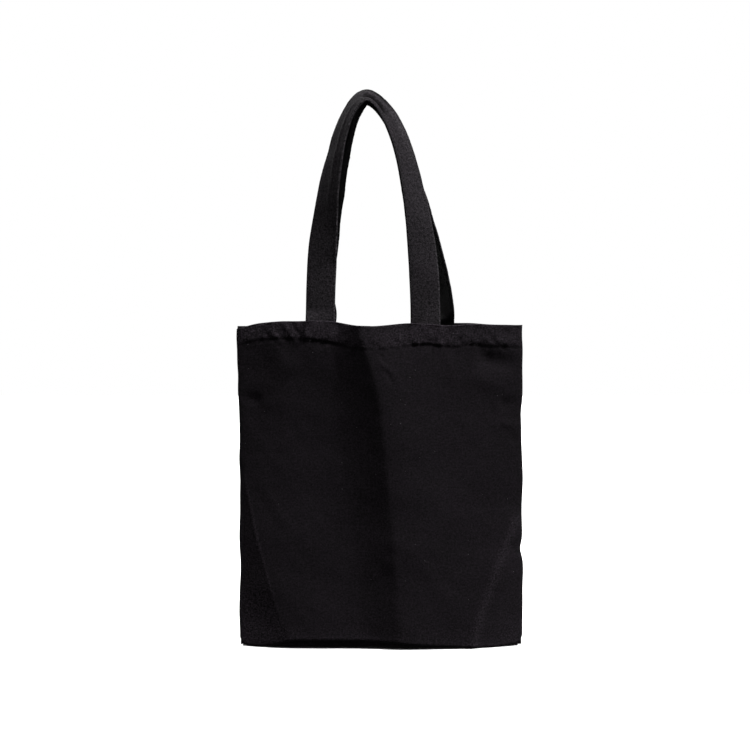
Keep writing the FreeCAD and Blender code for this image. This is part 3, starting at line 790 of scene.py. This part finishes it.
def wall_wear_and_light(x, z, side):
    """How much lighter a wall's cloth is drawn: faded along the hem, at the lower corners and at the
    foot; partly worn and partly a painted highlight on the corner creases; painted light on the left
    corner facet.
    """
    hem = (0.66 - 0.22 * x / HALF_WIDTH) * ease((z - hem_line(x, side)) / (3 * MM))
    if side == "front":
        hem *= 1 - 0.6 * hump(x, -12, 24)
    # Lighter on the corner creases: partly wear, partly a painted highlight on their ridge.
    line = np.where(x < 0, 0.8, 0.45) * crease_line(x, z, side)
    left_turn, left_share = corner_turn(z, side, 0)
    # Painted light: the left corner facet drawn lighter, as if lit.
    painted_lit_facet = ease((-x - left_turn) / (5 * MM)) * (1 - left_share) * (1.0 if side == "front" else 0.3)
    foot = 0.22 * bell(z, 26 * MM) + 0.35 * bell(z - foot_height(x) - FOOT_ROUND, 2.2 * MM)
    corner = 0.20 * slope(np.abs(x), 135, 25) * bell(z, 55 * MM)
    return hem + line + painted_lit_facet + foot + corner


# ---- walls, hems and base ----

COLUMNS = 190
CROWDING = 0.14
WALL_ROWS, HEM_ROWS = 147, 42
HEM_START, CLIMB_END = 0.90, 0.996


def column_places():
    """Places along X, closer together near the side seams."""
    t = np.linspace(-1, 1, COLUMNS)
    return HALF_WIDTH * ((1 - CROWDING) * t + CROWDING * np.sin(t * math.pi / 2) ** 3)


def tucked_row(row, side, inward, drop):
    """A row of a wall's points, moved inward and down."""
    y = FORWARD[side] * np.maximum(np.abs(row[:, 1]) - inward, SEAM_LEAST)
    return together(row[:, 0], y, row[:, 2] - drop)


def make_wall(side):
    """One panel in one sheet: tucked under the base, up the wall and over the rim."""
    x = column_places()
    rows, cloth, wear_and_light = [], [], []

    def add_row(points, along, tone_shift=0.0):
        rows.append(points)
        cloth.append(together(x, along))
        wear_and_light.append(np.broadcast_to(tone_shift, x.shape))

    first = wall_points(x, 0.0, side)
    for tuck in (1.0, 0.5, 0.0):
        under = tucked_row(first, side, FOOT_ROUND + tuck * FOOT_TUCK, FOOT_ROUND - 0.5 * MM * tuck)
        add_row(under, -FOOT_ROUND * math.pi / 2 - tuck * FOOT_TUCK)
    for turn in np.radians([67.5, 45, 22.5]):
        inward, drop = FOOT_ROUND * (1 - math.cos(turn)), FOOT_ROUND * math.sin(turn)
        add_row(tucked_row(first, side, inward, drop), -FOOT_ROUND * turn, 0.6)
    foot = foot_height(x) + FOOT_ROUND
    lower = np.linspace(0, HEM_START, WALL_ROWS, endpoint=False)
    for climb in np.concatenate([lower, np.linspace(HEM_START, CLIMB_END, HEM_ROWS)]):
        tone_shift = wall_wear_and_light(x, foot + (HEIGHT - foot) * climb, side)
        add_row(wall_points(x, climb, side), climb * HEIGHT, tone_shift)
    outer = wall_points(x, 1.0, side)
    half = np.minimum(RIM_THICKNESS / 2, np.abs(outer[:, 1]) / 2)
    for turn in np.radians(np.linspace(0, 180, 9)):
        over = outer.copy()
        over[:, 1] -= FORWARD[side] * half * (1 - math.cos(turn))
        over[:, 2] -= half * (1 - math.sin(turn))
        add_row(over, HEIGHT + half.mean() * turn, 0.62 * (1 - turn / math.pi) + 0.5 * math.sin(turn))
    return rows, cloth, wear_and_light


def finish_wall(side):
    """Add the inner ply of the hem to a wall's rows, and make the piece."""
    rows, cloth, wear_and_light = make_wall(side)
    x = column_places()
    foot = foot_height(x) + FOOT_ROUND
    drop = HEIGHT - hem_line(x, side) + 4 * MM
    for share in np.linspace(0.06, 1.0, 14):
        face = wall_points(x, 1 - share * drop / (HEIGHT - foot), side)
        thickness = np.minimum(RIM_THICKNESS, np.abs(face[:, 1]) - 0.15 * MM)
        face[:, 1] -= FORWARD[side] * np.maximum(thickness, 0)
        face[:, 2] -= RIM_THICKNESS / 2 * (1 - share)
        rows.append(face)
        cloth.append(together(x, HEIGHT + 5 * MM + share * drop))
        wear_and_light.append(np.zeros_like(x))
    points, flat = np.stack(rows), np.stack(cloth)
    wall = grid_piece(side + "_panel_cloth", points, flat, np.stack(wear_and_light), CANVAS, flip=side == "back")
    thicken(wall, CLOTH)
    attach(wall, "bag")
    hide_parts(side + "_panel", side + "_hem")
    return wall


def wall_frame(x, climb, side):
    """Points on a wall, and the directions out of its face."""
    step, rise = 0.5 * MM, 0.002
    along = wall_points(x + step, climb, side) - wall_points(x - step, climb, side)
    up = wall_points(x, climb + rise, side) - wall_points(x, climb - rise, side)
    out = unit(np.cross(along, up))
    return wall_points(x, climb, side), out * np.sign(out[..., 1:2] * FORWARD[side])


def make_hem_stitching(side):
    """One row of stitches in the groove under the hem, seen outside and inside."""
    x = np.linspace(-HALF_WIDTH + 3 * MM, HALF_WIDTH - 3 * MM, 500)
    foot = foot_height(x) + FOOT_ROUND
    climb = (hem_line(x, side) - foot) / (HEIGHT - foot)
    here, out = wall_frame(x, climb, side)
    here -= out * 0.30 * MM
    inside = here.copy()
    inside[:, 1] -= FORWARD[side] * (RIM_THICKNESS + CLOTH * 0.1)
    keep = np.abs(here[:, 1]) > 5 * MM
    rows = [stitch_row(here, out), stitch_row(inside[keep], -out[keep])]
    piece = stitches_piece(side + "_hem_thread", *join_rows(rows))
    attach(piece, "bag")
    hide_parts(side + "_hem_stitching")


BASE_INSET = 4 * MM
BASE_GAP = 1.2 * MM
BASE_RISE = 1.15 * MM
BASE_FLATNESS = 10


def make_base():
    """The base: a leaf of canvas that lies on the floor and lifts to the walls at its edges."""
    x = np.linspace(-HALF_WIDTH + BASE_INSET, HALF_WIDTH - BASE_INSET, 120)
    front, back = (
        np.maximum(np.abs(wall_points(x, 0.0, side)[:, 1]) - FOOT_ROUND - BASE_GAP, 0.3 * MM)
        for side in ("front", "back"))
    ripple = Waves(61, 20 * MM, 60 * MM)
    rows, flat = [], []
    for share in np.linspace(-1, 1, 33):
        y = np.where(share < 0, share * front, share * back)
        edge = abs(share) ** BASE_FLATNESS
        z = BASE_RISE + foot_height(x) * edge + 0.15 * MM * (1 + ripple(x, y)) * (1 - edge)
        rows.append(together(x, y, np.maximum(z, 1.0 * MM)))
        flat.append(together(x, y))
    base = grid_piece("base_panel_cloth", np.stack(rows), np.stack(flat), 0.3, CANVAS)
    thicken(base, CLOTH)
    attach(base, "bag")
    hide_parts("base_panel")
    return base


# ---- straps ----

# How each leg rises and turns: first handle as a share of the rise and its lean, second
# handle's reach, the most it turns to the side in degrees, where its lean to the middle
# starts, where its turn starts and how far it is turned from its root on.
Leg = namedtuple("Leg", "handle lean reach turn start spin tilt")
STRAP_PEAK_X = {"front": -17.2 * MM, "back": -18.7 * MM}
STRAP_PEAK_TURN = {"front": 64, "back": 72}
STRAP_LEGS = {
    "front": (Leg(0.543, 0, 34.4, 65, 0.26, 0.26, 10), Leg(0.576, 0, 32.7, 56, 0.21, 0.21, 4)),
    "back": (Leg(0.11, 4, 22.6, 80, -0.56, -0.56, 0), Leg(0.443, -7.4, 34.5, 75, 0.0, -1.2, 0)),
}
# Which way each leg's outer edge faces.
OUTER = (-1, 1)
STRAP_START = 0.6 * MM
STITCH_PLACE = STRAP_WIDTH / 2 - 3 * MM
# Shares of the climb over which a leg leaves the rim upright and begins its turns.
LEAVING, TURN_LEAD, EARLY_LEAD, TILT_LEAD = 0.06, 0.14, 0.035, 0.07
SWING = 1.15
PINCH_DEPTH = 8.5 * MM
# The darkest painted shade, and the painted shade on each strap's inner faces.
DARKEST_SHADE = -1.25
INNER_SHADE = {"front": -1.0, "back": DARKEST_SHADE}
LEG_RINGS = 150
END_RINGS = 14
STRAP_WAVE = wave_pair(71, 20 * MM, 80 * MM, 12)
STRAP_PUCKER = Waves(73, 3.5 * MM, 8 * MM, 16)


def strap_reach(turn):
    """How far the strap's middle stands from the seam plane when its outer edge is at it."""
    return STRAP_WIDTH / 2 * np.sin(turn) + STRAP_THICKNESS / 2 * np.cos(turn) + STRAP_START


def turn_share(climbed, start, lead):
    """How much of its full turn a leg has made at a share of its climb."""
    turned = np.clip((climbed - start) / (1 - start), 0, 1)
    return (1 - (1 - turned) ** 2) * ease(climbed / lead)


def strap_peak_height(side):
    """The height of the strap's middle at the peak, from the top of its CAD solid."""
    turn = math.radians(STRAP_PEAK_TURN[side])
    half = STRAP_WIDTH / 2 * math.cos(turn) + STRAP_THICKNESS / 2 * math.sin(turn)
    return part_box(side + "_strap")[1].z - half


def leg_line(side, which):
    """The middle of one leg as a curve seen from the front, and its share of the climb."""
    leg, x = STRAP_LEGS[side][which], LEGS[side][which]
    peak_x, peak_z = STRAP_PEAK_X[side], strap_peak_height(side)
    start_z = HEIGHT + STRAP_START
    rise = peak_z - start_z
    corners = np.array([(x, start_z), (x + leg.lean * MM, start_z + leg.handle * rise),
                        (peak_x + OUTER[which] * leg.reach * MM, peak_z), (peak_x, peak_z)])
    t = np.linspace(0, 1, LEG_RINGS)[:, None]
    line = ((1 - t) ** 3 * corners[0] + 3 * (1 - t) ** 2 * t * corners[1]
            + 3 * (1 - t) * t ** 2 * corners[2] + t ** 3 * corners[3])
    return line, (line[:, 1] - start_z) / rise


def leg_turns(side, leg, climbed):
    """A leg's turn to the side, its turn without the early twist, and its lean to the middle."""
    eased = turn_share(climbed, leg.start, TURN_LEAD)
    spun = turn_share(climbed, leg.spin, TURN_LEAD if leg.spin == leg.start else EARLY_LEAD)
    leg_turn, peak_turn = math.radians(leg.turn), math.radians(STRAP_PEAK_TURN[side])
    last = (peak_turn - leg_turn) * ease((climbed - 0.9) / 0.1)
    tilt = math.radians(leg.tilt) * ease(climbed / TILT_LEAD) * (1 - ease(climbed / 0.6))
    return leg_turn * spun + last + tilt, leg_turn * eased + last, eased


def strap_leg(side, which):
    """One leg from the rim to the peak: middles, directions across and out of the face."""
    outer, forward = OUTER[which], FORWARD[side]
    line, climbed = leg_line(side, which)
    leaving = ease(climbed / LEAVING)[:, None]
    way = unit(unit(np.gradient(line, axis=0)) * leaving + np.array([0, 1]) * (1 - leaving))
    outward = together(-way[:, 1], way[:, 0]) * -outer
    turn, slow, eased = leg_turns(side, STRAP_LEGS[side][which], climbed)
    seam = np.array([LEGS[side][which]])
    root = float(wall_depth(seam, np.array([HEIGHT]), side)[0]) - STRAP_SET_BACK
    swing = SWING * STRAP_WIDTH / 2 * (np.sin(turn) - np.sin(slow))
    peak = strap_reach(math.radians(STRAP_PEAK_TURN[side]))
    depth = np.maximum(root + (peak - root) * eased - swing, strap_reach(turn))
    edge_held = outer * STRAP_WIDTH / 2 * (np.cos(slow) - np.cos(turn))
    middle = together(line[:, 0] + edge_held, forward * depth, line[:, 1])
    cos, sin = np.cos(turn), np.sin(turn)
    across = together(outward[:, 0] * cos, -forward * sin, outward[:, 1] * cos)
    face = together(outward[:, 0] * sin, forward * cos, outward[:, 1] * sin)
    return middle, across, face


def strap_course(side):
    """The whole strap from its left sewn end over the peak to its right one."""
    parts = []
    for which in (0, 1):
        middle, across, face = strap_leg(side, which)
        end = np.repeat(middle[:1], END_RINGS, axis=0)
        end[:, 2] = np.linspace(ROOT_Z, HEIGHT, END_RINGS)
        straight = np.repeat([[OUTER[which], 0, 0]], END_RINGS, axis=0)
        ahead = np.repeat([[0, FORWARD[side], 0]], END_RINGS, axis=0)
        rows = [np.concatenate(pair) for pair in ((end, middle), (straight, across), (ahead, face))]
        parts.append(rows if which == 0 else [row[-2::-1] for row in rows])
    middle, across, face = (np.concatenate([left, right]) for left, right in zip(*parts))
    return middle, across, face, run_along(middle)


def apex_pinch(past, s):
    """Where the front strap is pinched just past its peak: 1 in the pinch, 0 away from it."""
    along = slope(past, -9, 12) * slope(-past, -43, 24)
    return along * hump(s, -2.6, 4.3)


def strap_section(side, run, past, s):
    """How far the strap's middle surface stands from flat, for places s across it."""
    if side == "front":
        ridge = 1.3 * MM * slope(past, -190, 60) * ease(-past / (25 * MM))
        lift = ridge * hump(s, -4, 3.0) - PINCH_DEPTH * apex_pinch(past, s)
        lift += 1.6 * MM * hump(past, 60, 45) * (s / (STRAP_WIDTH / 2)) ** 2
    else:
        lift = -2.5 * MM * bell(past, 30 * MM) * (1 - (s / (STRAP_WIDTH / 2)) ** 2)
    return lift + 0.28 * MM * STRAP_WAVE[side](run, s) * slope(run, 30, 30)


def section_outline():
    """The strap's section: rounded edges, and a groove along each row of stitches."""
    half, thick = STRAP_WIDTH / 2, STRAP_THICKNESS / 2
    flat = np.linspace(-half + thick, half - thick, 29)
    turn = np.linspace(math.pi / 2, -math.pi / 2, 9)[1:-1]
    top = np.full_like(flat, thick)
    rounded = half - thick + thick * np.cos(turn)
    s = np.concatenate([flat, rounded, flat[::-1], -rounded])
    h = np.concatenate([top, thick * np.sin(turn), -top, -thick * np.sin(turn)])
    groove = 0.42 * MM * bell(np.abs(s) - STITCH_PLACE, 0.8 * MM)
    swell = 0.22 * MM * (1 - (s / half) ** 2)
    h += np.sign(h) * (swell - groove) * (np.abs(h) > thick * 0.99)
    return s, h


def past_peak(run):
    """Distances along a strap past its peak, as a column."""
    return (run - run[len(run) // 2])[:, None]


def strap_surface(side, course, s, h):
    """Points of the strap for places s across and h out of its middle, one row per ring."""
    middle, across, face, run = course
    s = np.broadcast_to(s, (len(middle), np.shape(s)[-1]))
    lift = h + strap_section(side, run[:, None], past_peak(run), s)
    points = middle[:, None] + across[:, None] * s[..., None] + face[:, None] * lift[..., None]
    if side == "front":
        points[..., 2] += 1.8 * MM * bell(past_peak(run), 10 * MM)
    flat_y = middle[:, None, 1] + across[:, None, 1] * s
    z = points[..., 2]
    held = FORWARD[side] * (wall_depth(points[..., 0], np.minimum(z, HEIGHT), side) - STRAP_SET_BACK)
    points[..., 1] += (held - flat_y) * (1 - ease((z - HEIGHT) / (BLEND_HIGH - HEIGHT)))
    return points


def handle_rides(piece):
    """Bake the piece's placement into its mesh."""
    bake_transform(piece)


def front_strap_wear_and_light(tone_shift, past, s):
    """The front strap's wear with painted light: painted shade in its pinch, on its top edge past the
    peak and along its left-facing edges, and a painted highlight on its outer half past the peak.
    """
    # Painted shade: in the pinch, on the top edge past the peak, and along the left-facing edges.
    top_edge_shade = hump(past, 13, 16) * slope(s, 9, 6)
    left_edge_shade = np.where(past > 0, -s, s) - STRAP_WIDTH / 2
    left_edge_shade = slope(left_edge_shade, -1.9, 1.1) * ease(np.abs(past) / (50 * MM))
    # Painted highlight on the outer half past the peak.
    lightened = hump(past, 60, 34) * slope(s, 1, 9)
    shaded = np.maximum(np.maximum(1.3 * apex_pinch(past, s), top_edge_shade), 1.2 * left_edge_shade)
    return np.maximum(tone_shift + (1 - shaded) * lightened * (tone_shift >= 0) - 1.7 * shaded, DARKEST_SHADE)


def make_strap(side):
    """A flat cotton strap in one piece, sewn ends included."""
    course = strap_course(side)
    run = course[3]
    s, h = section_outline()
    edge = np.abs(s) - STITCH_PLACE
    pucker = 1 + 0.10 * STRAP_PUCKER(run[:, None], 0.1 * (s > 0)) * bell(edge, 3 * MM)
    points = strap_surface(side, course, s, h * pucker)
    faces = tube_faces(*points.shape[:2])
    cloth = together(s + 0.05 * (h < 0), run[:, None])
    # Painted shade on the inner faces; the edges past the stitches are worn lighter.
    tone_shift = np.where(h < -0.5 * MM, INNER_SHADE[side], ease(edge / (2.5 * MM)))
    if side == "front":
        tone_shift = front_strap_wear_and_light(tone_shift, past_peak(run), s)
    strap = face_outward(new_piece(side + "_strap_cloth", points, faces, cloth, tone_shift, STRAP_CANVAS))
    handle_rides(strap)
    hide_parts(side + "_strap", side + "_left_strap_end", side + "_right_strap_end")
    return course


def make_strap_stitching(side, course):
    """Topstitching along both edges of the strap, on both faces, where it is free."""
    free = slice(END_RINGS, -END_RINGS)
    groove = STRAP_THICKNESS / 2 - 0.22 * MM
    rows = []
    for face_sign in (1, -1):
        for edge in (-1, 1):
            line = strap_surface(side, course, np.array([edge * STITCH_PLACE]), face_sign * groove)
            rows.append(stitch_row(line[free, 0], course[2][free] * face_sign))
    piece = stitches_piece(side + "_strap_thread", *join_rows(rows))
    handle_rides(piece)
    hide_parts(side + "_strap_stitching")


def make_box_stitching(side, which):
    """The crossed box of thread that sews a strap's end, seen inside the bag."""
    leg_name = ("left", "right")[which]
    low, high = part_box(f"{side}_{leg_name}_box_stitching")
    corners = [(low.x, low.z), (high.x, low.z), (high.x, high.z), (low.x, high.z)]
    lines = [(corners[k], corners[(k + 1) % 4]) for k in range(4)]
    lines += [(corners[0], corners[2]), (corners[1], corners[3])]
    rows = []
    for start, end in lines:
        x, z = np.linspace(start, end, 20).T
        depth = wall_depth(x, z, side) - STRAP_SET_BACK - STRAP_THICKNESS / 2
        points = together(x, FORWARD[side] * depth, z)
        out = np.repeat([[0, -FORWARD[side], 0]], 20, axis=0)
        rows.append(stitch_row(points, out, 3.0 * MM))
    piece = stitches_piece(f"{side}_{leg_name}_box_thread", *join_rows(rows))
    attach(piece, "bag")
    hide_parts(f"{side}_{leg_name}_box_stitching")


# ---- seam allowances inside the bag ----

FIN_DEPTH = 13 * MM
BASE_FIN_DEPTH = 10.5 * MM
SEAM_WAVE = wave_pair(91, 14 * MM, 50 * MM, 12)
# How much of its cloth's thickness a pressed ply keeps.
PRESSED = 0.8


def fin_piece(name, rows, across, along, flip=False):
    """A seam allowance: two pressed plies, fraying towards the free edge."""
    tone_shift = np.linspace(0, 1, len(rows))[:, None] ** 4
    fin = grid_piece(name, np.stack(rows), together(across, along), tone_shift, CANVAS, flip)
    thicken(fin, 2 * CLOTH * PRESSED, 0.0)
    return fin


def make_side_allowance(name, sign):
    """The two edges sewn together at a side seam, standing into the bag as a fin."""
    wave = Waves(81 + int(sign), 16 * MM, 60 * MM, 12)
    z = np.linspace(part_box(name + "_side_seam")[0].z + 1 * MM, HEIGHT - 2 * MM, 220)
    shift = side_shift(np.full_like(z, sign * HALF_WIDTH), z)
    room = np.where(z > HEM_FOOT - 8 * MM, 0.12, 1.0)
    shares = np.linspace(0, 1, 9)
    rows = []
    for share in shares:
        x = sign * (HALF_WIDTH - 1.2 * MM - share * FIN_DEPTH) + 0.35 * MM * wave(z, 0.3) * share
        rows.append(together(x + shift, 1.1 * MM * wave(z) * share * room, z))
    fin = fin_piece(name + "_side_allowance", rows, FIN_DEPTH * shares[:, None], z)
    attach(fin, "bag")
    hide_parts(name + "_side_seam")
    make_overlock(name, rows[-1], rows[-4])


def make_overlock(name, edge, inner):
    """Overlock thread: loops that wrap the raw edge of an allowance."""
    toward = unit(inner - edge)
    side = np.repeat([[0.0, 1.0, 0.0]], len(edge), axis=0)
    rows = []
    for sign in (1, -1):
        line = edge + toward * 1.9 * MM + side * sign * 0.72 * MM
        centre, ahead, out = stitch_row(line, side * sign, 2.2 * MM)
        slant = unit(read_line(centre[:, 2], edge[:, 2], toward))
        rows.append((centre, slant + unit(ahead) * 0.35, out))
    rows.append(stitch_row(edge - toward * 0.05 * MM, -toward, 2.2 * MM))
    rows.append(stitch_row(edge + toward * 4.0 * MM + side * 0.75 * MM, side, 2.4 * MM))
    piece = stitches_piece(name + "_overlock_thread", *join_rows(rows), 3.4 * MM)
    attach(piece, "bag")
    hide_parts(name + "_side_overlock")


def make_base_allowance(side):
    """The raw edges of the base seam, lying on the base inside the bag."""
    low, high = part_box(side + "_base_seam")
    x = np.linspace(low.x, high.x, 150)
    foot = np.abs(wall_points(x, 0.0, side)[:, 1])
    shares = np.linspace(0, 1, 7)
    rows = []
    for share in shares:
        inset = FOOT_ROUND * 0.55 + share * BASE_FIN_DEPTH
        y = FORWARD[side] * np.maximum(foot - inset, 0.5 * MM)
        z = foot_height(x) + 2.3 * MM + (1.6 * MM + 0.9 * MM * SEAM_WAVE[side](x)) * share ** 2
        rows.append(together(x, y, z))
    across = BASE_FIN_DEPTH * shares[:, None]
    fin = fin_piece(side + "_base_allowance", rows, x, across, flip=side == "back")
    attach(fin, "bag")
    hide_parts(side + "_base_seam")


for wall_side in ("front", "back"):
    wall = finish_wall(wall_side)
    make_hem_stitching(wall_side)
    strap_line = make_strap(wall_side)
    make_strap_stitching(wall_side, strap_line)
    make_box_stitching(wall_side, 0)
    make_box_stitching(wall_side, 1)
base_cloth = make_base()
for seam_side in ("front", "back"):
    make_base_allowance(seam_side)
make_side_allowance("left", -1)
make_side_allowance("right", 1)
